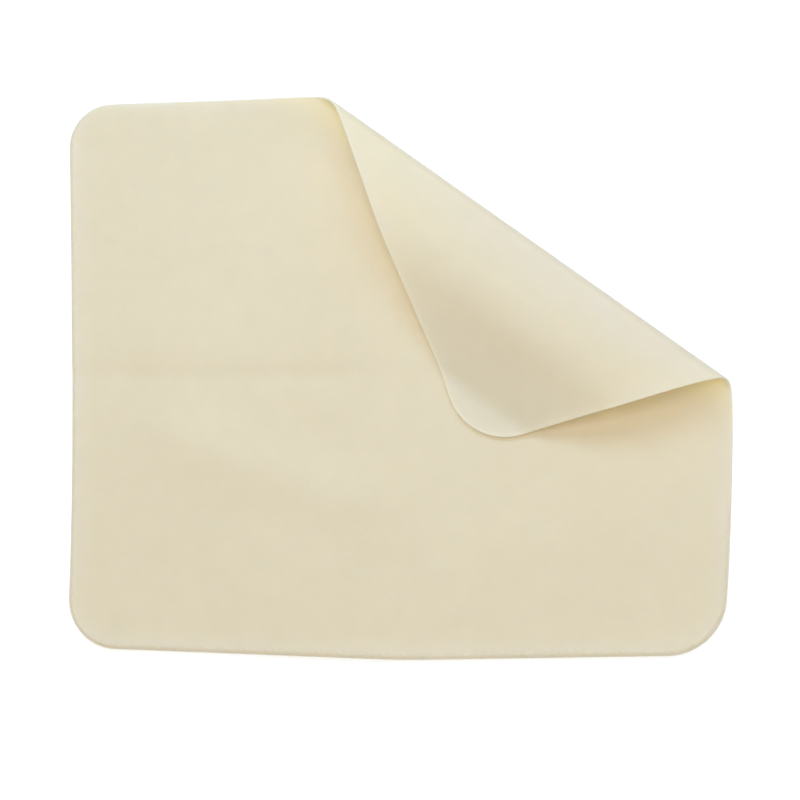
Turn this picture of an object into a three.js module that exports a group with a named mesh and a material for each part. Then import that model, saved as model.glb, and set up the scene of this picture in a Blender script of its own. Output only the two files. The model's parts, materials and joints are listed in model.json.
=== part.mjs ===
// A microfibre suede cleaning cloth that lies flat, with its far right corner turned over in a soft roll.
// Millimetres, +Z up, +X to the right and +Y away. The origin is on the resting surface, under the middle
// of the cut rectangle.
//
// The cloth is one sheet. Each mesh is the area between two of its bend lines, and the areas hang on each
// other in nested groups, so that turning every group back to zero lays the whole rectangle out again.

import * as THREE from 'three';

// The cut cloth
const clothWidth = 180;
const clothHeight = 150;
const clothThickness = 0.6;
const cornerRadius = 13;

// Where the cloth begins to lift: distances from the square corner along the far and the right edge
const liftAlongFarEdge = 136;
const liftAlongRightEdge = 97.8;

// The roll in side view, from the flat area to the tip: radius of each bend, and its turn in degrees
const liftRadius = 34;
const liftTurn = 24;
const noseRadius = 3.6;
const noseTurn = 123;
const shoulderRadius = 10;
const landingRadius = 18;

// Length for which the cloth still climbs straight on after the nose, before the shoulder turns it down
const climbLength = 7.5;

// Slope at which the flap comes down to the cloth under it
const descentAngle = 28.5;

// Air between neighbouring areas, and between the tip and the cloth that it rests on
const clearance = 0.3;

// Facets: the turn of one facet on the roll in degrees, and the steps of a round corner
const facetTurn = 4;
const cornerSteps = 8;

// Cream suede, matt on both sides
const suedeColour = 0xe4dcc6;
const suedeRoughness = 0.95;

const radians = THREE.MathUtils.degToRad;

// One stretch of the side view: an arc that turns from one heading to another
function arc(radius, fromHeading, turn) {
  const toHeading = fromHeading + turn;
  const curl = Math.sign(turn) * radius;
  return { length: radius * Math.abs(turn), fromHeading, toHeading, curl };
}

function straight(length, heading) {
  return { length, fromHeading: heading, toHeading: heading };
}

function rise({ length, fromHeading, toHeading, curl }) {
  return curl ? curl * (Math.cos(fromHeading) - Math.cos(toHeading)) : length * Math.sin(fromHeading);
}

const lift = arc(liftRadius, 0, radians(liftTurn));
const nose = arc(noseRadius, lift.toHeading, radians(noseTurn));
const climb = straight(climbLength, nose.toHeading);
const shoulder = arc(shoulderRadius, nose.toHeading, Math.PI + radians(descentAngle) - nose.toHeading);
const landing = arc(landingRadius, shoulder.toHeading, -radians(descentAngle));

// The straight slope is as long as it takes to bring the tip down onto the cloth
const tipHeight = clothThickness + clearance;
const rollHeight = rise(lift) + rise(nose) + rise(climb) + rise(shoulder);
const slopeHeading = shoulder.toHeading;
const slope = straight((tipHeight - rollHeight - rise(landing)) / Math.sin(slopeHeading), slopeHeading);

// Start of each stretch, as a distance from the lift line on the flat cloth
const stretches = [lift, nose, climb, shoulder, slope, landing];
stretches.reduce((start, stretch) => {
  stretch.start = start;
  return start + stretch.length;
}, 0);

// Place and heading of the cloth's middle surface at a distance from the lift line, in side view
function sideView(distance) {
  let across = Math.min(distance, 0);
  let height = 0;
  let heading = 0;
  for (const { start, length, fromHeading, toHeading, curl } of stretches) {
    const run = THREE.MathUtils.clamp(distance - start, 0, length);
    heading = THREE.MathUtils.lerp(fromHeading, toHeading, run / length);
    if (curl) {
      across += curl * (Math.sin(heading) - Math.sin(fromHeading));
      height += curl * (Math.cos(fromHeading) - Math.cos(heading));
    } else {
      across += run * Math.cos(heading);
      height += run * Math.sin(heading);
    }
    if (distance < start + length) {
      return { across, height, heading };
    }
  }
  const beyond = distance - landing.start - landing.length;
  return { across: across + beyond * Math.cos(heading), height, heading };
}

// A bend line lies in the middle of the arc, or share of an arc, that it lays flat. The area after it has
// its name. The edges beside it keep clear of each other also when the line has turned flat.
function bendLine(area, stretch, part, parts) {
  const turn = (stretch.toHeading - stretch.fromHeading) / parts;
  const distance = stretch.start + (stretch.length * (part + 0.5)) / parts;
  const gap = clearance + clothThickness * Math.tan(Math.abs(turn) / 2);
  return { area, turn, distance, gap };
}

const bendLines = [
  bendLine('lift_band', lift, 0, 1),
  bendLine('nose_band', nose, 0, 2),
  bendLine('shoulder_band_1', nose, 1, 2),
  bendLine('shoulder_band_2', shoulder, 0, 2),
  bendLine('flap_panel', shoulder, 1, 2),
  bendLine('corner_tip', landing, 0, 1),
];

// Distances where one facet of the roll meets the next
const facetLines = stretches.flatMap(({ start, length, fromHeading, toHeading }) => {
  const facets = Math.max(1, Math.ceil(Math.abs(toHeading - fromHeading) / radians(facetTurn)));
  return Array.from({ length: facets + 1 }, (_, i) => start + (length * i) / facets);
});

// The fold frame: its X runs along the fold and its Y points across it, towards the turned corner
const liftStart = new THREE.Vector2(clothWidth / 2 - liftAlongFarEdge, clothHeight / 2);
const foldHeading = -Math.atan2(liftAlongRightEdge, liftAlongFarEdge);

// Outline of the flat cloth in the fold frame, a rectangle with round corners
function clothOutline() {
  const x = clothWidth / 2 - cornerRadius;
  const y = clothHeight / 2 - cornerRadius;
  const quarter = Math.PI / 2;
  const outline = new THREE.Shape();
  outline.absarc(x, y, cornerRadius, 0, quarter);
  outline.absarc(-x, y, cornerRadius, quarter, 2 * quarter);
  outline.absarc(-x, -y, cornerRadius, 2 * quarter, 3 * quarter);
  outline.absarc(x, -y, cornerRadius, 3 * quarter, 4 * quarter);
  const points = outline.getPoints(cornerSteps);
  return points.map((point) => point.sub(liftStart).rotateAround(new THREE.Vector2(), -foldHeading));
}

// What is left of a polygon on one side of a line across the fold: side 1 keeps what lies beyond it.
// A point that the cut makes lies exactly on the line.
function keepSide(points, distance, side) {
  const kept = [];
  points.forEach((point, i) => {
    const next = points[(i + 1) % points.length];
    const here = (point.y - distance) * side;
    const there = (next.y - distance) * side;
    if (here >= 0) {
      kept.push(point);
    }
    if (here * there < 0) {
      kept.push(new THREE.Vector2(THREE.MathUtils.lerp(point.x, next.x, here / (here - there)), distance));
    }
  });
  return kept;
}

// The area of cloth between two distances, as a closed solid. It is cut into strips along the facet lines,
// and place(point, level) says where a point of the flat cloth lies: level 1 is its upper side, -1 its lower.
function clothArea(name, from, to, place) {
  const cuts = facetLines.filter((line) => line > from && line < to);
  const corners = [];
  const triangle = (...points) => corners.push(...points);
  [from, ...cuts].forEach((lower, i) => {
    const upper = i < cuts.length ? cuts[i] : to;
    const strip = keepSide(keepSide(outline, lower, 1), upper, -1);
    strip.forEach((point, j) => {
      const next = strip[(j + 1) % strip.length];
      const [top, nextTop] = [place(point, 1), place(next, 1)];
      const [under, nextUnder] = [place(point, -1), place(next, -1)];
      if (j > 0 && j + 1 < strip.length) {
        triangle(place(strip[0], 1), top, nextTop);
        triangle(place(strip[0], -1), nextUnder, under);
      }
      const joinsNextStrip = point.y === next.y && cuts.includes(point.y);
      if (!joinsNextStrip) {
        triangle(under, nextUnder, nextTop);
        triangle(under, nextTop, top);
      }
    });
  });
  const geometry = new THREE.BufferGeometry().setFromPoints(corners);
  geometry.computeVertexNormals();
  const suede = new THREE.MeshStandardMaterial({
    color: suedeColour,
    roughness: suedeRoughness,
    metalness: 0,
  });
  const mesh = new THREE.Mesh(geometry, suede);
  mesh.name = name;
  return mesh;
}

// Where the cloth lies in the frame of one of its groups, which starts at an origin on the middle surface
// and is turned by a heading
function placer(origin, turned) {
  const xAxis = new THREE.Vector3(1, 0, 0);
  return (point, level) => {
    const { across, height, heading } = sideView(point.y);
    const offset = (level * clothThickness) / 2;
    const y = across - offset * Math.sin(heading) - origin.across;
    const z = height + offset * Math.cos(heading) - origin.height;
    return new THREE.Vector3(point.x, y, z).applyAxisAngle(xAxis, -turned);
  };
}

const outline = clothOutline();

// Assembly: the flat main panel and the edge that starts to lift, then each area on a group that turns
// about the bend line before it
const cloth = new THREE.Group();
const foldFrame = new THREE.Group();
foldFrame.position.set(liftStart.x, liftStart.y, clothThickness / 2);
foldFrame.rotation.z = foldHeading;
cloth.add(foldFrame);

const firstLine = bendLines[0];
const onTable = placer({ across: 0, height: 0 }, 0);
foldFrame.add(clothArea('main_panel', -Infinity, 0, onTable));
foldFrame.add(clothArea('lift_edge', clearance, firstLine.distance - firstLine.gap / 2, onTable));

let carrier = foldFrame;
let carrierOrigin = { across: 0, height: 0 };
let turned = 0;
bendLines.forEach(({ area, turn, distance, gap }, i) => {
  const next = bendLines[i + 1];
  const end = next ? next.distance - next.gap / 2 : Infinity;
  const origin = sideView(distance);
  const hinged = new THREE.Group();
  hinged.position.set(0, origin.across - carrierOrigin.across, origin.height - carrierOrigin.height);
  hinged.position.applyAxisAngle(new THREE.Vector3(1, 0, 0), -turned);
  hinged.rotation.x = turn;
  turned += turn;
  hinged.add(clothArea(area, distance + gap / 2, end, placer(origin, turned)));
  carrier.add(hinged);
  carrier = hinged;
  carrierOrigin = origin;
});

export default cloth;
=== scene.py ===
# %% [markdown]
# # A suede cloth with one corner turned over
#
# The object is a single sheet of cream microfibre suede, the kind that is used to wipe lenses and screens.
# It lies flat, and its far right corner is turned over in a soft roll. A cloth simulation could drop a
# sheet into some fold, but this fold has a known shape. So the lesson cuts the sheet flat, grids it, bends
# it round the roll, and gives it the finish of a short suede nap.

# %% Load the frame
import json
import math

import bmesh
import bpy
from mathutils import Matrix, Vector, noise
from mathutils.bvhtree import BVHTree
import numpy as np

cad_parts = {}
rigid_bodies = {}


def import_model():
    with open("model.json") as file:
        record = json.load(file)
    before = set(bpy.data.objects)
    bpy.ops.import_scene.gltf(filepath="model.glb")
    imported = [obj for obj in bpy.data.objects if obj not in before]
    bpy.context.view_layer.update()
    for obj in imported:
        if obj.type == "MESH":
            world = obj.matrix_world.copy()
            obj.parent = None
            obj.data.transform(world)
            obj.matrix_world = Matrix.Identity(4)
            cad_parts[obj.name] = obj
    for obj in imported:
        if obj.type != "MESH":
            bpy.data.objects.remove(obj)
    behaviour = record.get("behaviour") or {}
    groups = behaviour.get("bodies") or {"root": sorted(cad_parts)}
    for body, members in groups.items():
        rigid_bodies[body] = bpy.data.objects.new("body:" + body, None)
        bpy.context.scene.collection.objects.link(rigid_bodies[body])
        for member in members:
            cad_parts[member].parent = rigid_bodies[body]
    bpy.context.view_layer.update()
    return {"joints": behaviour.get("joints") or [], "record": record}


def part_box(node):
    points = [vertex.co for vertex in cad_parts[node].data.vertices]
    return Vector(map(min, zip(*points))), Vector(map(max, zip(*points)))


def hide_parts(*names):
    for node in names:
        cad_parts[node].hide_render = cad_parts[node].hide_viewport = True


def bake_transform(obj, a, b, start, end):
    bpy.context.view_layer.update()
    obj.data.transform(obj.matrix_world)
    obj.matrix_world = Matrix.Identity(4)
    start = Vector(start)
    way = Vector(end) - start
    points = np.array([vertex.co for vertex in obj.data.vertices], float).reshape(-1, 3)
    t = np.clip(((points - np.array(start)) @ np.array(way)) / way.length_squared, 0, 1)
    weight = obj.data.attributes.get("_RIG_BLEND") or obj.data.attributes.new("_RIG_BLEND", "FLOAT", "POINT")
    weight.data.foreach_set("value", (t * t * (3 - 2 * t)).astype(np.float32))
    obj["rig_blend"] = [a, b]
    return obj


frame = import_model()
MM = 0.001
UP = Vector((0, 0, 1))

# %% [markdown]
# ## The camera
#
# The cloth is seen from almost straight above, from a little to its right, through a long lens. A Track To
# constraint could aim the camera. Here it is placed from the point it looks at, which needs no second
# object: go back from there along the line of sight, and turn the camera so that the cloth's far side is at
# the top of the picture.

# %% Camera over the cloth
VIEW_TARGET = Vector((2.73, -7.51, 0)) * MM
VIEW_BACK = Vector((0.170, -0.029, 1)).normalized()
VIEW_DISTANCE = 650 * MM
LENS_MM = 109.34
SENSOR_MM = 36
FAR_SIDE = Vector((0, 1, 0))

camera_data = bpy.data.cameras.new("camera")
camera_data.lens = LENS_MM
camera_data.sensor_width = SENSOR_MM
camera = bpy.data.objects.new("camera", camera_data)
bpy.context.scene.collection.objects.link(camera)
view_right = FAR_SIDE.cross(VIEW_BACK).normalized()
view_up = VIEW_BACK.cross(view_right)
camera.rotation_euler = Matrix((view_right, view_up, VIEW_BACK)).transposed().to_euler()
camera.location = VIEW_TARGET + VIEW_BACK * VIEW_DISTANCE
bpy.context.scene.camera = camera
print("Camera height in mm:", round(camera.location.z / MM))

# %% [markdown]
# ## Which way the fold runs
#
# The turned corner is the same sheet, bent along lines that run side by side. The frame's joints lie on
# those lines: their axis says which way the fold runs, and their range says how far the cloth bends there.
# The numbers could be written down again, but read from the frame they stay in step with the solids.

# %% Fold directions
joints = {joint["name"]: joint for joint in frame["joints"]}
turns = {name: math.radians(joint["range_deg"][1]) for name, joint in joints.items()}
ALONG = -Vector(joints["corner_unfold"]["axis"])
ACROSS = UP.cross(ALONG)

panel_low, panel_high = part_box("main_panel")
CLOTH_WIDTH, CLOTH_HEIGHT, THICKNESS = panel_high - panel_low
print("Cloth in mm:", [round(side / MM, 2) for side in (CLOTH_WIDTH, CLOTH_HEIGHT, THICKNESS)])

# %% [markdown]
# ## The side view of the roll
#
# Seen along the fold, the cloth is one line: it lifts off the table in a wide arc, turns back in a tight
# nose, comes over a round shoulder, slopes down and lands on the cloth under it. The turns are known, so
# only the radii are given here. The solids turn their shoulder in a small arc between two straight runs.
# Soft cloth spreads that turn over both runs, so here it is the widest arc that fits between them. The
# slope is as long as it takes to come down.

# %% Stretches of the roll
LIFT_RADIUS = 34 * MM
NOSE_RADIUS = 3.6 * MM
SHOULDER_RUN = 7.5 * MM
SHOULDER_RADIUS = 10 * MM
LANDING_RADIUS = 6 * MM
TIP_AIR = 0.33 * MM


def arc(radius, heading, turned):
    """An arc of the side view, with its length on the cloth, its headings and its signed radius."""
    curl = math.copysign(radius, turned)
    return {"length": radius * abs(turned), "from": heading, "to": heading + turned, "curl": curl}


def straight(length, heading):
    """A straight run of the side view, in the same form as an arc."""
    return {"length": length, "from": heading, "to": heading, "curl": 0}


def rise(stretch):
    """How much higher a stretch ends than it starts."""
    if stretch["curl"]:
        return stretch["curl"] * (math.cos(stretch["from"]) - math.cos(stretch["to"]))
    return stretch["length"] * math.sin(stretch["from"])


lift = arc(LIFT_RADIUS, 0, turns["corner_unfold"])
nose = arc(NOSE_RADIUS, lift["to"], turns["nose_bend_1"] + turns["nose_bend_2"])

# The shoulder takes up as much cloth as the solids do there, which is a little more than the arc's length
shoulder_turn = turns["shoulder_bend_1"] + turns["shoulder_bend_2"]
widest_radius = SHOULDER_RADIUS + SHOULDER_RUN / math.tan(shoulder_turn / 2)
shoulder = arc(widest_radius, nose["to"], shoulder_turn)
shoulder["length"] = SHOULDER_RADIUS * shoulder_turn + 2 * SHOULDER_RUN

landing = arc(LANDING_RADIUS, shoulder["to"], -turns["landing_bend"])
climbed = rise(lift) + rise(nose) + rise(shoulder) + rise(landing)
slope = straight((THICKNESS + TIP_AIR - climbed) / math.sin(shoulder["to"]), shoulder["to"])

stretches = [lift, nose, shoulder, slope, landing]
reach = 0
for stretch in stretches:
    stretch["start"] = reach
    reach += stretch["length"]
    stretch["end"] = reach
print("Ends of the roll's stretches in mm:", [round(stretch["end"] / MM, 2) for stretch in stretches])

# %% [markdown]
# Any point of the flat cloth can now be carried to its place on the roll: walk along the stretches for as
# far as the point lies from the lift line, and step off the middle surface by its height in the sheet. A
# Simple Deform modifier bends round one arc only, and this line has four, so a function does it.

# %% From the flat cloth to the roll
first_bend = Vector(joints["corner_unfold"]["pos_m"])
lift_line = first_bend - ACROSS * LIFT_RADIUS * math.sin(turns["corner_unfold"] / 2)
lift_line.z = THICKNESS / 2


def side_view(distance):
    """Place across the fold, height and heading of the cloth's middle at a distance from the lift line."""
    across = min(distance, 0)
    height = 0
    heading = 0
    for stretch in stretches:
        run = min(max(distance - stretch["start"], 0), stretch["length"])
        heading = stretch["from"] + (stretch["to"] - stretch["from"]) * run / stretch["length"]
        if stretch["curl"]:
            across += stretch["curl"] * (math.sin(heading) - math.sin(stretch["from"]))
            height += stretch["curl"] * (math.cos(stretch["from"]) - math.cos(heading))
        else:
            across += run * math.cos(heading)
            height += run * math.sin(heading)
        if distance < stretch["end"]:
            return across, height, heading
    return across + (distance - reach) * math.cos(heading), height, heading


def folded(flat):
    """Where a point of the flat cloth goes when the corner is turned over."""
    from_line = flat - lift_line
    across, height, heading = side_view(from_line.dot(ACROSS))
    across -= from_line.z * math.sin(heading)
    height += from_line.z * math.cos(heading)
    return lift_line + ALONG * from_line.dot(ALONG) + ACROSS * across + UP * height


print("The cloth lifts off at, in mm:", [round(part / MM, 2) for part in lift_line])

# %% [markdown]
# ## The cut
#
# A soft cloth is never quite square. Its outline could be drawn as a curve. Here it starts as one face
# whose corners are moved a little from the true rectangle, and bevelling the corner points rounds them, so
# that each corner's place and radius stay plain numbers.

# %% Outline of the flat cloth
CORNER_SEGMENTS = 18
EDGE_CUTS = 27

# The corner's side in x and in y, how far it lies off the true rectangle, and its radius
CORNERS = [
    (-1, -1, Vector((0.5, 0.5, 0)) * MM, 13.6 * MM),
    (1, -1, Vector((-1.96, 0.6, 0)) * MM, 14.2 * MM),
    (1, 1, Vector((1.60, 0.69, 0)) * MM, 16.4 * MM),
    (-1, 1, Vector((0.62, -1.29, 0)) * MM, 11.8 * MM),
]


def cut_outline(mesh):
    """One face with round corners, and points along its four straight edges."""
    corners = []
    for side_x, side_y, shift, _ in CORNERS:
        square = Vector((side_x * CLOTH_WIDTH / 2, side_y * CLOTH_HEIGHT / 2, 0))
        corners.append(mesh.verts.new(square + shift))
    mesh.faces.new(corners)
    for corner, (_, _, _, radius) in zip(corners, CORNERS):
        bmesh.ops.bevel(
            mesh,
            geom=[corner],
            offset=radius,
            offset_type="OFFSET",
            affect="VERTICES",
            segments=CORNER_SEGMENTS,
            profile=0.5,
            material=-1,
        )
    long_edges = [edge for edge in mesh.edges if edge.calc_length() > CLOTH_HEIGHT / 2]
    bmesh.ops.subdivide_edges(mesh, edges=long_edges, cuts=EDGE_CUTS)


cloth = bmesh.new()
cut_outline(cloth)
print("Outline:", len(cloth.verts), "points")

# %% [markdown]
# The long edges aren't straight either: the left one bows inwards, the right one outwards, and the near one
# comes to a blunt point where the cloth was once folded in half. A lattice could pull them out of line, but
# a formula for each edge is shorter, and its numbers can be read off the real cloth.

# %% Bowed edges
LEFT_BOW = -1.3 * MM
LEFT_LEAN = -2.5 * MM
RIGHT_BOW = 1.25 * MM
RIGHT_LEAN = 5.6 * MM
NEAR_POINT = 2.4 * MM
NEAR_POINT_AT = 0.517
NEAR_POINT_BLUNTNESS = 0.035


def bow(share, swell, lean):
    """Outward move of an edge point at a share of its length. The lean swells one half more."""
    return share * (1 - share) * (4 * swell + lean * (1 - 2 * share))


def blunt_point(share):
    """Outward move of the near edge, which rises to its point from both ends."""
    if share < NEAR_POINT_AT:
        from_point = 1 - share / NEAR_POINT_AT
    else:
        from_point = 1 - (1 - share) / (1 - NEAR_POINT_AT)
    return NEAR_POINT * (1 - math.hypot(from_point, NEAR_POINT_BLUNTNESS))


def bow_edges(mesh):
    for point in mesh.verts:
        along_x = min(max(point.co.x / CLOTH_WIDTH + 0.5, 0), 1)
        along_y = min(max(point.co.y / CLOTH_HEIGHT + 0.5, 0), 1)
        if point.co.x < 0:
            point.co.x -= bow(along_y, LEFT_BOW, LEFT_LEAN)
        else:
            point.co.x += bow(along_y, RIGHT_BOW, RIGHT_LEAN)
        if point.co.y < 0:
            point.co.y -= blunt_point(along_x)


bow_edges(cloth)
print("Near edge's point at y in mm:", round(min(point.co.y for point in cloth.verts) / MM, 2))

# %% [markdown]
# The cut edge shows how thick the sheet is, and its loose fibres make it soft. Solidify and Bevel modifiers
# could give both. Here operators do, because the sheet is bent and parted later and needs its real rim for
# that. An inset adds a narrow ring inside the rim, where the edge can turn down.

# %% Thickness and rim
RIM_ROUNDING = 0.27 * MM
RIM_SEGMENTS = 3
RIM_RING = 0.7 * MM
FLAT_ENOUGH = 0.99
NAP_INDEX = 0
EDGE_INDEX = 1


def thicken(mesh):
    """Gives the face its thickness, a rounded rim and a ring inside it, and tells rim from broad faces."""
    top = bmesh.ops.extrude_face_region(mesh, geom=mesh.faces[:])["geom"]
    top_points = [part for part in top if isinstance(part, bmesh.types.BMVert)]
    bmesh.ops.translate(mesh, verts=top_points, vec=UP * THICKNESS)
    bmesh.ops.recalc_face_normals(mesh, faces=mesh.faces[:])
    rim = [edge for edge in mesh.edges if abs(edge.verts[0].co.z - edge.verts[1].co.z) < THICKNESS / 2]
    bmesh.ops.bevel(
        mesh,
        geom=rim,
        offset=RIM_ROUNDING,
        offset_type="OFFSET",
        affect="EDGES",
        segments=RIM_SEGMENTS,
        profile=0.5,
        material=-1,
    )
    broad = [face for face in mesh.faces if abs(face.normal.z) > FLAT_ENOUGH]
    bmesh.ops.inset_region(mesh, faces=broad, thickness=RIM_RING, use_even_offset=True)
    for face in mesh.faces:
        face.material_index = NAP_INDEX if abs(face.normal.z) > FLAT_ENOUGH else EDGE_INDEX


thicken(cloth)
print("Cut cloth:", len(cloth.verts), "points,", len(cloth.faces), "faces")

# %% [markdown]
# Wear and curl belong to the edge, so later steps ask how far a point lies from it. Measuring to every edge
# of the rim would be slow. A search tree of the rim's faces finds the nearest place at once.

# %% Distance from the cut edge
rim_only = cloth.copy()
broad_faces = [face for face in rim_only.faces if face.material_index == NAP_INDEX]
bmesh.ops.delete(rim_only, geom=broad_faces, context="FACES")
rim_tree = BVHTree.FromBMesh(rim_only)
rim_only.free()


def edge_distance(place):
    """How far a place of the flat cloth lies from its cut edge."""
    return rim_tree.find_nearest(place)[3]


print("From the middle to the edge in mm:", round(edge_distance(Vector()) / MM, 1))

# %% [markdown]
# ## Rows and columns
#
# Cloth that bends needs points to bend at. Subdividing would spread them evenly. Cutting the flat sheet
# with many planes gives a grid that runs along and across the fold instead, close together in the tight
# nose and wide on the flat. Every stretch starts, ends and has its middle on a cut, which later lets the
# sheet be parted there.

# %% Grid along and across the fold
FLAT_STEP = 1.6 * MM
WIDE_STEP = 1.0 * MM
SHOULDER_STEP = 0.8 * MM
NOSE_STEP = 0.3 * MM
ON_THE_CUT = 1e-7


def rows_between(start, end, step):
    """Even places from the start to just short of the end, about a step apart."""
    count = max(1, round((end - start) / step))
    return [start + (end - start) * i / count for i in range(count)]


def distances(direction):
    return [(point.co - lift_line).dot(direction) for point in cloth.verts]


def cut_line(direction, distance):
    everything = cloth.verts[:] + cloth.edges[:] + cloth.faces[:]
    place = lift_line + direction * distance
    bmesh.ops.bisect_plane(cloth, geom=everything, dist=ON_THE_CUT, plane_co=place, plane_no=direction)


steps = [WIDE_STEP, NOSE_STEP, SHOULDER_STEP, FLAT_STEP, WIDE_STEP]
row_lines = rows_between(min(distances(ACROSS)), 0, FLAT_STEP)[1:]
for stretch, step in zip(stretches, steps):
    middle = (stretch["start"] + stretch["end"]) / 2
    row_lines += rows_between(stretch["start"], middle, step)
    row_lines += rows_between(middle, stretch["end"], step)
row_lines += rows_between(reach, max(distances(ACROSS)), FLAT_STEP)
column_lines = rows_between(min(distances(ALONG)), max(distances(ALONG)), FLAT_STEP)[1:]
for line in row_lines:
    cut_line(ACROSS, line)
for line in column_lines:
    cut_line(ALONG, line)
print("Grid:", len(row_lines), "rows and", len(column_lines), "columns,", len(cloth.faces), "faces")

# %% [markdown]
# ## The cloth remembers
#
# The nap has to follow the cloth round the bend, so each point keeps its place on the flat cloth in a UV
# map. Each face keeps its distance from the lift line, by which the sheet is parted later. Both could be
# worked out on the bent cloth too, but here they are plain distances.

# %% Flat places
flat_map = cloth.loops.layers.uv.new("cloth")
for face in cloth.faces:
    for loop in face.loops:
        place = loop.vert.co
        loop[flat_map].uv = (place.x / CLOTH_WIDTH + 0.5, place.y / CLOTH_WIDTH + 0.5)

row_of = cloth.faces.layers.float.new("row_of")
for face in cloth.faces:
    face[row_of] = (face.calc_center_median() - lift_line).dot(ACROSS)
print("Flat places kept for", len(cloth.verts), "points")

# %% [markdown]
# The nap is painted paler along the cut edges and on the outside of the bend. Along the edges this is partly
# rubbed wear and partly a painted highlight where the edge catches light. On the bend it is a painted
# highlight where the roll faces the window. The turned corner's edge is partly spared. Such paling could be
# painted by hand in Vertex Paint. Here it is an attribute that is worked out from distances, so that it
# moves along when the cut or the fold changes.

# %% Paler nap: wear and painted highlight
RIM_WEAR_AND_HIGHLIGHT_WIDTH = 5 * MM
BEND_HIGHLIGHT = 1.2
FLAP_SPARED = 0.6


def smooth(low, high, value):
    """A soft step: 0 below the low value and 1 above the high one."""
    share = min(max((value - low) / (high - low), 0), 1)
    return share * share * (3 - 2 * share)


wear_and_painted_highlight = cloth.verts.layers.float.new("wear_and_painted_highlight")
fold_start = min(distances(ALONG))
fold_end = max(distances(ALONG))
shoulder_middle = (shoulder["start"] + shoulder["end"]) / 2
for point in cloth.verts:
    from_line = (point.co - lift_line).dot(ACROSS)
    # Paler along the cut edge: partly rubbed wear, partly a painted highlight where the edge catches light
    rim_wear_and_highlight = max(0, 1 - edge_distance(point.co) / RIM_WEAR_AND_HIGHLIGHT_WIDTH)
    rim_wear_and_highlight *= 1 - FLAP_SPARED * smooth(shoulder_middle, slope["start"], from_line)
    # Painted highlight on the outside of the bend, where it faces the window, growing towards the right end
    bend_highlight = smooth(nose["start"], nose["end"], from_line)
    bend_highlight *= 1 - smooth(nose["end"], shoulder_middle, from_line)
    bend_highlight *= BEND_HIGHLIGHT * smooth(fold_start, fold_end, (point.co - lift_line).dot(ALONG))
    point[wear_and_painted_highlight] = max(rim_wear_and_highlight, bend_highlight)
print("Worn points:", sum(point[wear_and_painted_highlight] > 0 for point in cloth.verts))

# %% [markdown]
# ## Creases, waves and curl
#
# The sheet doesn't lie quite flat. It was once folded in four, which leaves a shallow valley across the
# middle and another one down to the near edge, and a soft wave crosses the left half. Sculpting could give
# such forms, but each of them follows one line and has one height, so a formula is easier to steer.

# %% Creases and waves along lines
ACROSS_CREASE = {"place": Vector((-20, -0.8, 0)) * MM, "run": Vector((1, -0.007, 0)), "half": 85 * MM}
NEAR_CREASE = {"place": Vector((5.9, -62, 0)) * MM, "run": Vector((0.03, -1, 0)), "half": 24 * MM}
SOFT_WAVE = {"place": Vector((-34, -26.5, 0)) * MM, "run": Vector((45.6, -16.7, 0)), "half": 42 * MM}
FULL_STRENGTH_SHARE = 0.6
CREASE_FAR_HEIGHT = 0.75 * MM
CREASE_NEAR_HEIGHT = 0.28 * MM
CREASE_WIDTH = 8 * MM
NEAR_CREASE_HEIGHT = 0.22 * MM
WAVE_HEIGHT = 1.4 * MM
WAVE_WIDTH = 9 * MM


def beside(line, place):
    """How far a place lies beside a line, and how much of the line's strength is left along it."""
    run = line["run"].normalized()
    offset = place - line["place"]
    offset.z = 0
    along = offset.dot(run)
    strength = 1 - smooth(FULL_STRENGTH_SHARE * line["half"], line["half"], abs(along))
    return (offset - run * along).length, strength


def valley(line, place, height, width):
    """0 on the line, highest at one width beside it, and fading out further off."""
    aside, strength = beside(line, place)
    return height * strength * aside / width * math.exp(1 - aside / width)


def ridge(line, place, height, width):
    """Highest on the line, and fading out beside it."""
    aside, strength = beside(line, place)
    return height * strength * math.exp(-((aside / width) ** 2))


def lines_height(place):
    """What the creases and the wave lift a place by. The long crease is higher on its far side."""
    far_side = place.y > ACROSS_CREASE["place"].y
    crease_height = CREASE_FAR_HEIGHT if far_side else CREASE_NEAR_HEIGHT
    height = valley(ACROSS_CREASE, place, crease_height, CREASE_WIDTH)
    height += valley(NEAR_CREASE, place, NEAR_CREASE_HEIGHT, CREASE_WIDTH)
    return height + ridge(SOFT_WAVE, place, WAVE_HEIGHT, WAVE_WIDTH)


print("Height on the soft wave in mm:", round(lines_height(SOFT_WAVE["place"]) / MM, 2))

# %% [markdown]
# Under these lines the sheet is a little uneven all over. Its cut edges curl up by less than their own
# thickness and turn down again at the very rim. A Displace modifier with a texture could do the first, but
# the edges need their distances. All of it fades out near the roll and under the tip, so that nothing pokes
# through the cloth above.

# %% Heights on the table
UNEVENNESS = 0.5 * MM
UNEVEN_SIZE = 38 * MM
EDGE_CURL = 0.5 * MM
EDGE_CURL_WIDTH = 7 * MM
RIM_DROOP = 0.68 * MM
ROLL_FADE = (-16 * MM, -3 * MM)
TIP_PLACE = Vector((26, -6, 0)) * MM
TIP_FADE = (24 * MM, 40 * MM)


def near_edge(to_edge, width):
    """1 on the cut edge, falling to 0 at a width inside it."""
    return 1 - min(to_edge / width, 1)


def height_on_table(place):
    uneven = UNEVENNESS * (0.5 + 0.5 * noise.noise(Vector((place.x, place.y, 0)) / UNEVEN_SIZE))
    to_edge = edge_distance(place)
    curl = EDGE_CURL * near_edge(to_edge, EDGE_CURL_WIDTH) ** 2
    droop = RIM_DROOP * near_edge(to_edge, RIM_RING)
    height = max(uneven + curl - droop, 0) + lines_height(place)
    to_tip = (Vector((place.x, place.y, 0)) - TIP_PLACE).length
    to_roll = (place - lift_line).dot(ACROSS)
    return height * smooth(*TIP_FADE, to_tip) * (1 - smooth(*ROLL_FADE, to_roll))


print("Height in the middle of the sheet in mm:", round(height_on_table(Vector()) / MM, 2))

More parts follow.
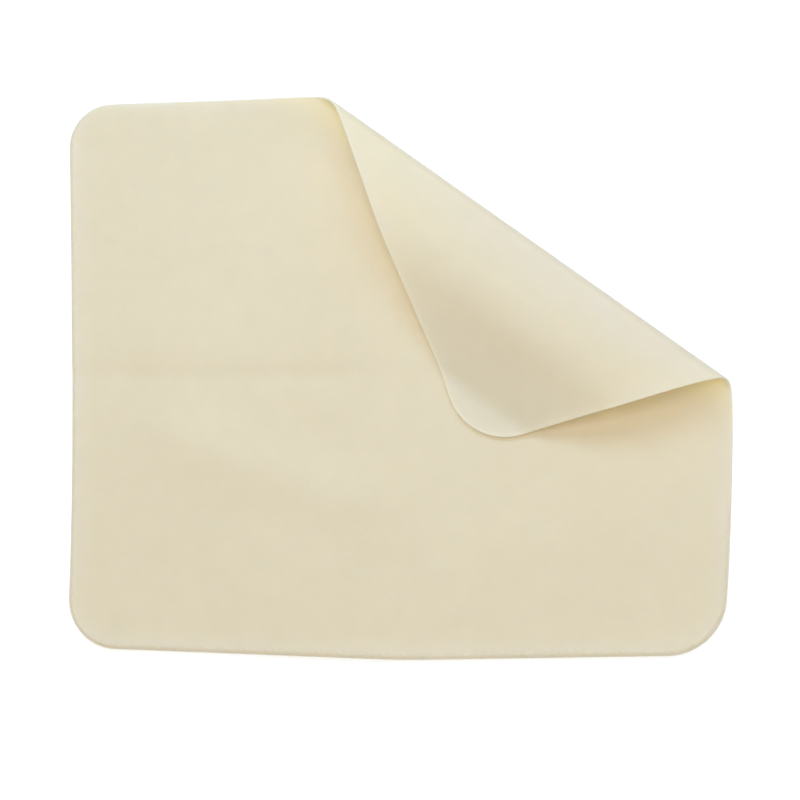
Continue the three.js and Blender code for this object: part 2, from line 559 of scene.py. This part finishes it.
# %% [markdown]
# The sloping flap hangs free, so it sags between its edges, mostly just below the shoulder, and its cut
# edge stands up in a slight lip. With these in it, the side view would differ from column to column. Both
# are far smaller than the roll, so it is enough to add them to it as heights.

# %% Heights on the flap
FLAP_SAG = 0.4 * MM
FLAP_SAG_WIDTH = 16 * MM
SAG_BELOW_SHOULDER = 6 * MM
FLAP_LIP = 0.36 * MM
FLAP_LIP_WIDTH = 2.6 * MM
deepest_sag = slope["start"] + SAG_BELOW_SHOULDER


def height_on_flap(place):
    from_line = (place - lift_line).dot(ACROSS)
    to_edge = edge_distance(place)
    sag_begins = smooth(shoulder_middle, deepest_sag, from_line)
    sag_ends = 1 - smooth(deepest_sag, landing["end"], from_line)
    sag = FLAP_SAG * sag_begins * sag_ends * smooth(0, FLAP_SAG_WIDTH, to_edge)
    lip = FLAP_LIP * near_edge(to_edge, FLAP_LIP_WIDTH) ** 2
    return lip * smooth(shoulder_middle, slope["start"], from_line) - sag


print("The flap sags most at", round(deepest_sag / MM, 1), "mm from the lift line")

# %% [markdown]
# Now every point goes to its place on the roll, with its own height on top. The sheet is parted later, and
# shading each part by itself would show the joins. So the normal of every point is worked out here, on the
# whole sheet, and each point keeps the number by which its normal is found again.

# %% Bend the sheet round the roll
whole_index = cloth.verts.layers.int.new("whole_index")
for point in cloth.verts:
    flat = point.co.copy()
    if (flat - lift_line).dot(ACROSS) < 0:
        point.co = folded(flat) + UP * height_on_table(flat)
    else:
        point.co = folded(flat) + UP * height_on_flap(flat)
cloth.normal_update()
cloth.verts.index_update()

whole_normals = []
for point in cloth.verts:
    point[whole_index] = point.index
    normal = Vector()
    for face in point.link_faces:
        normal += face.normal * face.calc_area()
    whole_normals.append(normal.normalized())
print("Roll height in mm:", round(max(point.co.z for point in cloth.verts) / MM, 2))

# %% [markdown]
# ## The nap
#
# Suede is matt because its surface is a dense pile of very short fibres. Seen from an arm's length it is an
# even cream with soft cloudy patches, and only close up do the fibres show. It is paler where it is rubbed,
# and a few specks of lint cling to it. The pattern could be painted on an image, but nodes stay sharp at
# any distance. It is a node group, because the broad faces and the cut edge both use it with their own
# values.

# %% Nap group and its sockets
NAP_INPUTS = {"Place": "Vector", "Fibre Contrast": "Float", "Patch Contrast": "Float", "Rim": "Float"}
NAP_OUTPUTS = ["Tone", "Height", "Lint", "Wear And Highlight"]

nap = bpy.data.node_groups.new("suede_nap", "ShaderNodeTree")
for socket_name, kind in NAP_INPUTS.items():
    nap.interface.new_socket(socket_name, in_out="INPUT", socket_type="NodeSocket" + kind)
for socket_name in NAP_OUTPUTS:
    nap.interface.new_socket(socket_name, in_out="OUTPUT", socket_type="NodeSocketFloat")
given = nap.nodes.new("NodeGroupInput")
put_out = nap.nodes.new("NodeGroupOutput")


def new_node(tree, kind, values=None, **settings):
    """A node with its settings, and with values on its input sockets."""
    made = tree.nodes.new(kind)
    for name, value in settings.items():
        setattr(made, name, value)
    for socket, value in (values or {}).items():
        made.inputs[socket].default_value = value
    return made


def math_node(tree, operation, first, second, third=None):
    """A Math node. Each input is an output socket to link, or a number."""
    made = new_node(tree, "ShaderNodeMath", operation=operation)
    for socket, value in zip(made.inputs, (first, second, third)):
        if isinstance(value, bpy.types.NodeSocket):
            tree.links.new(value, socket)
        elif value is not None:
            socket.default_value = value
    return made.outputs[0]


print("Nap group puts out:", ", ".join(NAP_OUTPUTS))

# %% [markdown]
# Noise that is squeezed about four times in one direction looks like short fibres that lie across it. Two
# such layers at an angle stand for a pile that was brushed more than once. A wave texture could draw the
# fibres too, but in even rows. Two coarse noises make the cloudy patches. Each noise has its mean at one
# half, so the sum of two is taken less 1 before a contrast scales it.

# %% Fibres and cloudy patches
FIBRE_LAYERS = [(math.radians(17), (1.0, 4.4, 1)), (math.radians(-58), (1.3, 3.8, 1))]
FIBRE_SCALE = 1
FIBRE_DETAIL = 3
PATCHES_PER_MM = 0.16
PATCH_DETAIL = 2
SWEEPS_PER_MM = 0.032
SWEEP_DETAIL = 1
NOISE_ROUGHNESS = 0.55
MIDDLE_TONE = 0.5
PATCH_RELIEF = 0.5


def nap_noise(scale, detail, place):
    values = {"Scale": scale, "Detail": detail, "Roughness": NOISE_ROUGHNESS}
    made = new_node(nap, "ShaderNodeTexNoise", values)
    nap.links.new(place, made.inputs["Vector"])
    return made.outputs[0]


fibres = []
for turn, stretch_by in FIBRE_LAYERS:
    comb = new_node(nap, "ShaderNodeMapping", {"Rotation": (0, 0, turn), "Scale": stretch_by})
    nap.links.new(given.outputs["Place"], comb.inputs["Vector"])
    fibres.append(nap_noise(FIBRE_SCALE, FIBRE_DETAIL, comb.outputs[0]))
fibre = math_node(nap, "ADD", fibres[0], fibres[1])
patch = nap_noise(PATCHES_PER_MM, PATCH_DETAIL, given.outputs["Place"])
sweep = nap_noise(SWEEPS_PER_MM, SWEEP_DETAIL, given.outputs["Place"])
cloudy = math_node(nap, "ADD", patch, sweep)
fibre_part = math_node(nap, "SUBTRACT", fibre, 1)
cloudy_part = math_node(nap, "SUBTRACT", cloudy, 1)
fibre_tone = math_node(nap, "MULTIPLY_ADD", fibre_part, given.outputs["Fibre Contrast"], MIDDLE_TONE)
tone = math_node(nap, "MULTIPLY_ADD", cloudy_part, given.outputs["Patch Contrast"], fibre_tone)
nap.links.new(tone, put_out.inputs["Tone"])
nap.links.new(math_node(nap, "MULTIPLY_ADD", patch, PATCH_RELIEF, fibre), put_out.inputs["Height"])
print("Fibre layers:", len(fibres))

# %% [markdown]
# Specks of lint are small rounds about the points of a Voronoi texture. They could be modelled, but so small
# and faint they need no mesh. The random colour of each cell decides which points have one. The paling,
# which is partly wear and partly painted highlight, follows the attribute that the points keep, broken up by
# the patches, so that it isn't an even stripe.

# %% Lint, and wear with painted highlight
LINT_CELLS_PER_MM = 0.045
LINT_FREE_SHARE = 0.75
WEAR_AND_HIGHLIGHT_PATCHINESS = 0.6
WEAR_AND_HIGHLIGHT_LEAST = 0.1

# As a share of a cell's width, because the texture measures distances in cells
LINT_RADIUS = 0.011

specks = new_node(nap, "ShaderNodeTexVoronoi", {"Scale": LINT_CELLS_PER_MM})
nap.links.new(given.outputs["Place"], specks.inputs["Vector"])
speck_colour = nap.nodes.new("ShaderNodeSeparateColor")
nap.links.new(specks.outputs["Color"], speck_colour.inputs[0])
near_speck = math_node(nap, "LESS_THAN", specks.outputs["Distance"], LINT_RADIUS)
some_specks = math_node(nap, "GREATER_THAN", speck_colour.outputs[0], LINT_FREE_SHARE)
nap.links.new(math_node(nap, "MULTIPLY", near_speck, some_specks), put_out.inputs["Lint"])
# Paler nap from wear and painted highlight, broken up by the patches
patchy_wear_and_highlight = math_node(nap, "MULTIPLY_ADD", patch, WEAR_AND_HIGHLIGHT_PATCHINESS, WEAR_AND_HIGHLIGHT_LEAST)
nap.links.new(math_node(nap, "MULTIPLY", given.outputs["Rim"], patchy_wear_and_highlight), put_out.inputs["Wear And Highlight"])
print("Nap group:", len(nap.nodes), "nodes")

# %% [markdown]
# ## The suede itself
#
# The real cloth is dyed one cream, and its fibres shade each other. So two shades are mixed by the nap's
# tone, then paled by wear and by a painted highlight, and dotted with lint. A colour ramp could do the
# mixing, but two colours per material are easier to set side by side.

# %% Colour of the pile
LINT_COLOUR = (0.5, 0.42, 0.3, 1)
# Colour of the paler nap: partly rubbed wear, partly a painted highlight on the edges and the bend
WEAR_AND_HIGHLIGHT_COLOUR = (0.96, 0.95, 0.9, 1)


def place_nap(tree, fibre_contrast, patch_contrast):
    """The nap group in a material, laid out by the flat places in millimetres."""
    place = new_node(tree, "ShaderNodeUVMap", uv_map="cloth")
    in_mm = new_node(tree, "ShaderNodeMapping", {"Scale": (CLOTH_WIDTH / MM, CLOTH_WIDTH / MM, 1)})
    # Reads the mask of wear and painted highlight
    rim = new_node(tree, "ShaderNodeAttribute", attribute_name="wear_and_painted_highlight")
    contrasts = {"Fibre Contrast": fibre_contrast, "Patch Contrast": patch_contrast}
    pile = new_node(tree, "ShaderNodeGroup", contrasts, node_tree=nap)
    tree.links.new(place.outputs[0], in_mm.inputs["Vector"])
    tree.links.new(in_mm.outputs[0], pile.inputs["Place"])
    tree.links.new(rim.outputs["Fac"], pile.inputs["Rim"])
    return pile


def colour_pile(tree, shader, pile, dark, light):
    shades = new_node(tree, "ShaderNodeMixRGB", {"Color1": (*dark, 1), "Color2": (*light, 1)})
    # Paled where the nap is worn and where a highlight is painted
    paled_by_wear_and_highlight = new_node(tree, "ShaderNodeMixRGB", {"Color2": WEAR_AND_HIGHLIGHT_COLOUR})
    dotted = new_node(tree, "ShaderNodeMixRGB", {"Color2": LINT_COLOUR})
    tree.links.new(pile.outputs["Tone"], shades.inputs["Fac"])
    tree.links.new(pile.outputs["Wear And Highlight"], paled_by_wear_and_highlight.inputs["Fac"])
    tree.links.new(pile.outputs["Lint"], dotted.inputs["Fac"])
    tree.links.new(shades.outputs[0], paled_by_wear_and_highlight.inputs["Color1"])
    tree.links.new(paled_by_wear_and_highlight.outputs[0], dotted.inputs["Color1"])
    tree.links.new(dotted.outputs[0], shader.inputs["Base Color"])


print("Worn nap's colour:", WEAR_AND_HIGHLIGHT_COLOUR[:3])

# %% [markdown]
# The fuzz on top of the pile catches light at low angles. A hair system would do that too, but a pile this
# short is cheaper as the shader's sheen, with a fine bump for the fibres.

# %% Fuzz of the pile
NAP_ROUGHNESS = 0.85
NAP_ROUGHNESS_SPREAD = 0.1
NAP_SPECULAR = 0.2
FUZZ_WEIGHT = 0.8
FUZZ_ROUGHNESS = 0.4
FUZZ_TINT = (0.9, 0.96, 1, 1)
RELIEF_STRENGTH = 0.25
RELIEF_DEPTH = 0.06 * MM


def fuzz_pile(tree, shader, pile):
    """Roughness, sheen and fine relief. Returns the relief's normal."""
    roughness = math_node(tree, "MULTIPLY_ADD", pile.outputs["Tone"], NAP_ROUGHNESS_SPREAD, NAP_ROUGHNESS)
    tree.links.new(roughness, shader.inputs["Roughness"])
    shader.inputs["Specular IOR Level"].default_value = NAP_SPECULAR
    shader.inputs["Sheen Weight"].default_value = FUZZ_WEIGHT
    shader.inputs["Sheen Roughness"].default_value = FUZZ_ROUGHNESS
    shader.inputs["Sheen Tint"].default_value = FUZZ_TINT
    relief = new_node(tree, "ShaderNodeBump", {"Strength": RELIEF_STRENGTH, "Distance": RELIEF_DEPTH})
    tree.links.new(pile.outputs["Height"], relief.inputs["Height"])
    tree.links.new(relief.outputs[0], shader.inputs["Normal"])
    return relief.outputs[0]


print("Relief of the pile in mm:", RELIEF_DEPTH / MM)

# %% [markdown]
# The cloth is thin enough that daylight comes through it, which makes the shade under the flap warm.
# Subsurface scattering could do that slowly. A Translucent shader mixed into the Principled one is enough
# for so thin a sheet. Light that is already inside the sheet only has to get out again, so a face that is
# met from behind is all Translucent.

# %% Suede materials
def let_light_through(tree, shader, normal, glow, through):
    daylight = new_node(tree, "ShaderNodeBsdfTranslucent", {"Color": (*glow, 1)})
    tree.links.new(normal, daylight.inputs["Normal"])
    sheet = tree.nodes.new("ShaderNodeMixShader")
    side = tree.nodes.new("ShaderNodeNewGeometry")
    share = math_node(tree, "MAXIMUM", side.outputs["Backfacing"], through)
    tree.links.new(share, sheet.inputs[0])
    tree.links.new(shader.outputs[0], sheet.inputs[1])
    tree.links.new(daylight.outputs[0], sheet.inputs[2])
    tree.links.new(sheet.outputs[0], tree.nodes["Material Output"].inputs["Surface"])


def suede_material(name, dark, light, glow, through, fibre_contrast, patch_contrast):
    material = bpy.data.materials.new(name)
    material.use_nodes = True
    tree = material.node_tree
    shader = tree.nodes["Principled BSDF"]
    pile = place_nap(tree, fibre_contrast, patch_contrast)
    colour_pile(tree, shader, pile, dark, light)
    normal = fuzz_pile(tree, shader, pile)
    let_light_through(tree, shader, normal, glow, through)
    return material


suede = suede_material(
    "cream_suede",
    dark=(0.945, 0.91, 0.71),
    light=(0.995, 0.965, 0.765),
    glow=(1.0, 0.8, 0.26),
    through=0.31,
    fibre_contrast=1.0,
    patch_contrast=1.1,
)
# The cut edge is paler than the face: partly the cut's own paler fibres, partly a painted highlight where
# the edge catches light
cut_edge = suede_material(
    "cut_edge",
    dark=(0.93, 0.9, 0.76),
    light=(1.0, 0.98, 0.86),
    glow=(1.0, 0.94, 0.8),
    through=0.3,
    fibre_contrast=2.0,
    patch_contrast=0.4,
)
print("Materials:", suede.name, cut_edge.name)

# %% [markdown]
# ## Parting the sheet where it bends
#
# The corner unfolds, so the sheet is parted in the roll. Each area holds one of the bends, at which a joint
# of the frame connects two bodies, and is blended between them: it follows the first before the bend and
# the second after it. One armature over the whole sheet would do the same, but parts that are blended over
# their own bend are simpler. The areas keep the normals of the whole sheet, so that no seam shows.

# %% Areas of the sheet and the bend that each has
nose_middle = (nose["start"] + nose["end"]) / 2
BENDS = [
    ("cloth_main", "corner_unfold", lift["start"], lift["end"]),
    ("cloth_nose_under", "nose_bend_1", nose["start"], nose_middle),
    ("cloth_nose_over", "nose_bend_2", nose_middle, nose["end"]),
    ("cloth_shoulder", "shoulder_bend_1", shoulder["start"], shoulder_middle),
    ("cloth_flap", "shoulder_bend_2", shoulder_middle, shoulder["end"]),
    ("cloth_tip", "landing_bend", landing["start"], landing["end"]),
]
area_starts = [-math.inf] + [bend_start for _, _, bend_start, _ in BENDS[1:]]
area_ends = area_starts[1:] + [math.inf]


def area_mesh(name, start, end):
    """The sheet between two distances, closed at both ends, with the whole sheet's normals."""
    area = cloth.copy()
    rows = area.faces.layers.float["row_of"]
    index = area.verts.layers.int["whole_index"]
    outside = [face for face in area.faces if not start < face[rows] < end]
    bmesh.ops.delete(area, geom=outside, context="FACES")
    open_edges = [edge for edge in area.edges if edge.is_boundary]
    caps = bmesh.ops.holes_fill(area, edges=open_edges)["faces"]
    cap_triangles = bmesh.ops.triangulate(area, faces=caps, ngon_method="EAR_CLIP")["faces"]
    bmesh.ops.recalc_face_normals(area, faces=area.faces[:])
    for face in area.faces:
        face.smooth = True
    hidden = set(cap_triangles)
    normals = []
    for face in area.faces:
        for loop in face.loops:
            normals.append(face.normal.copy() if face in hidden else whole_normals[loop.vert[index]])
    mesh = bpy.data.meshes.new(name)
    area.to_mesh(mesh)
    area.free()
    mesh.normals_split_custom_set(normals)
    return mesh


print("Areas of the sheet:", len(BENDS))

# %% [markdown]
# Each area becomes a piece of its own, which takes the place of the solids of the body after its bend. The
# first one also takes the place of the flat panel.

# %% Pieces of the cloth
body_nodes = frame["record"]["behaviour"]["bodies"]


def on_fold(distance):
    """A point of the bent middle surface, on the line across the fold through the lift line's own place."""
    across, height, _ = side_view(distance)
    return lift_line + ACROSS * across + UP * height


for (name, joint_name, bend_start, bend_end), start, end in zip(BENDS, area_starts, area_ends):
    piece = bpy.data.objects.new(name, area_mesh(name, start, end))
    bpy.context.scene.collection.objects.link(piece)
    piece.data.materials.append(suede)
    piece.data.materials.append(cut_edge)
    parent = joints[joint_name]["parent"]
    child = joints[joint_name]["child"]
    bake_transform(piece, parent, child, start=on_fold(bend_start), end=on_fold(bend_end))
    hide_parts(*body_nodes[child])
    print(name, len(piece.data.polygons), "faces, bends at", joint_name)

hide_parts(*body_nodes["main_panel"])

# %% [markdown]
# ## Floor and light
#
# The cloth lies on white paper in a bright room. Lamps strong enough to make the paper white would bleach
# the cloth too. So the paper glows a little for the camera, and more further out, while for the light that
# falls on the cloth it stays plain paper. It lies a hair lower than the cloth, so that the flap stays above
# it when it is turned back.

# %% Floor
FLOOR_SIZE = 3.0
FLOOR_DROP = 0.35 * MM

floor_mesh = bpy.data.meshes.new("floor")
floor_shape = bmesh.new()
bmesh.ops.create_grid(floor_shape, x_segments=1, y_segments=1, size=FLOOR_SIZE / 2)
bmesh.ops.translate(floor_shape, verts=floor_shape.verts[:], vec=-UP * FLOOR_DROP)
floor_shape.to_mesh(floor_mesh)
floor_shape.free()
floor = bpy.data.objects.new("floor", floor_mesh)
bpy.context.scene.collection.objects.link(floor)
print("Floor:", FLOOR_SIZE, "m across")

# %% White paper
PAPER_COLOUR = (0.94, 0.94, 0.94, 1)
PAPER_ROUGHNESS = 1
PAPER_GLOW = 0.25
PAPER_GLOW_COLOUR = (0.9, 0.94, 1.0, 1)
SHADOW_REACH = 0.13
WHITE_FROM = 0.26


def seen_directly(tree):
    """1 for rays that come from the camera, also by way of gloss or glass, and 0 for light on the cloth."""
    rays = tree.nodes.new("ShaderNodeLightPath")
    seen = math_node(tree, "MAXIMUM", rays.outputs["Is Camera Ray"], rays.outputs["Is Glossy Ray"])
    seen = math_node(tree, "MAXIMUM", seen, rays.outputs["Is Transmission Ray"])
    not_spread = math_node(tree, "SUBTRACT", 1, rays.outputs["Is Diffuse Ray"])
    return math_node(tree, "MULTIPLY", seen, not_spread)


paper = bpy.data.materials.new("white_paper")
paper.use_nodes = True
paper_tree = paper.node_tree
paper_shader = paper_tree.nodes["Principled BSDF"]
paper_shader.inputs["Base Color"].default_value = PAPER_COLOUR
paper_shader.inputs["Roughness"].default_value = PAPER_ROUGHNESS
paper_shader.inputs["Emission Color"].default_value = PAPER_GLOW_COLOUR
on_floor = paper_tree.nodes.new("ShaderNodeTexCoord")
from_middle = new_node(paper_tree, "ShaderNodeVectorMath", operation="LENGTH")
paper_tree.links.new(on_floor.outputs["Object"], from_middle.inputs[0])
glow_range = {"From Min": SHADOW_REACH, "From Max": WHITE_FROM, "To Min": PAPER_GLOW, "To Max": 1}
whiteness = new_node(paper_tree, "ShaderNodeMapRange", glow_range)
paper_tree.links.new(from_middle.outputs["Value"], whiteness.inputs["Value"])
paper_glow = math_node(paper_tree, "MULTIPLY", seen_directly(paper_tree), whiteness.outputs[0])
paper_tree.links.new(paper_glow, paper_shader.inputs["Emission Strength"])
floor_mesh.materials.append(paper)
print("Paper glows fully from", WHITE_FROM, "m off the middle")

# %% [markdown]
# A warm, even sky fills the shadows, a cool window shines in from the far side and models the roll, and a
# wide box overhead gives most of the light. One sky picture could light the scene as well, but with a sky
# and two lamps each of the three can be set by itself. The camera sees the sky as white, like the paper.

# %% Sky
SKY_STRENGTH = 0.28
SKY_COLOUR = (1.0, 0.94, 0.62, 1)
SEEN_COLOUR = (1, 1, 1, 1)

world = bpy.data.worlds.new("studio")
bpy.context.scene.world = world
world.use_nodes = True
sky_tree = world.node_tree
sky = sky_tree.nodes["Background"]
seen = seen_directly(sky_tree)
sky_colour = new_node(sky_tree, "ShaderNodeMixRGB", {"Color1": SKY_COLOUR, "Color2": SEEN_COLOUR})
sky_tree.links.new(seen, sky_colour.inputs["Fac"])
sky_tree.links.new(sky_colour.outputs[0], sky.inputs["Color"])
sky_strength = math_node(sky_tree, "MULTIPLY_ADD", seen, 1 - SKY_STRENGTH, SKY_STRENGTH)
sky_tree.links.new(sky_strength, sky.inputs["Strength"])
print("Sky strength on the cloth:", SKY_STRENGTH)

# %% Window and top box
WINDOW_FROM = Vector((0.08, 0.84, 1.0))
WINDOW_DISTANCE = 0.55
WINDOW_SIZE = (0.8, 0.2)
WINDOW_WATTS = 1.85
WINDOW_COLOUR = (0.5, 0.72, 1.0)
TOP_FROM = Vector((0.02, 0.0, 1.0))
TOP_DISTANCE = 1.4
TOP_SIZE = (0.9, 0.9)
TOP_WATTS = 11.1
TOP_COLOUR = (0.92, 0.918, 1.0)


def soft_lamp(name, come_from, distance, size, watts, colour):
    """A wide lamp that shines on the middle of the cloth."""
    lamp_data = bpy.data.lights.new(name, "AREA")
    lamp_data.shape = "RECTANGLE"
    lamp_data.size, lamp_data.size_y = size
    lamp_data.energy = watts
    lamp_data.color = colour
    lamp = bpy.data.objects.new(name, lamp_data)
    lamp.location = come_from.normalized() * distance
    lamp.rotation_euler = come_from.to_track_quat("Z", "Y").to_euler()
    bpy.context.scene.collection.objects.link(lamp)
    print(name, "height in mm:", round(lamp.location.z / MM))


soft_lamp("window", WINDOW_FROM, WINDOW_DISTANCE, WINDOW_SIZE, WINDOW_WATTS, WINDOW_COLOUR)
soft_lamp("top_box", TOP_FROM, TOP_DISTANCE, TOP_SIZE, TOP_WATTS, TOP_COLOUR)
bpy.context.scene.view_settings.view_transform = "Standard"
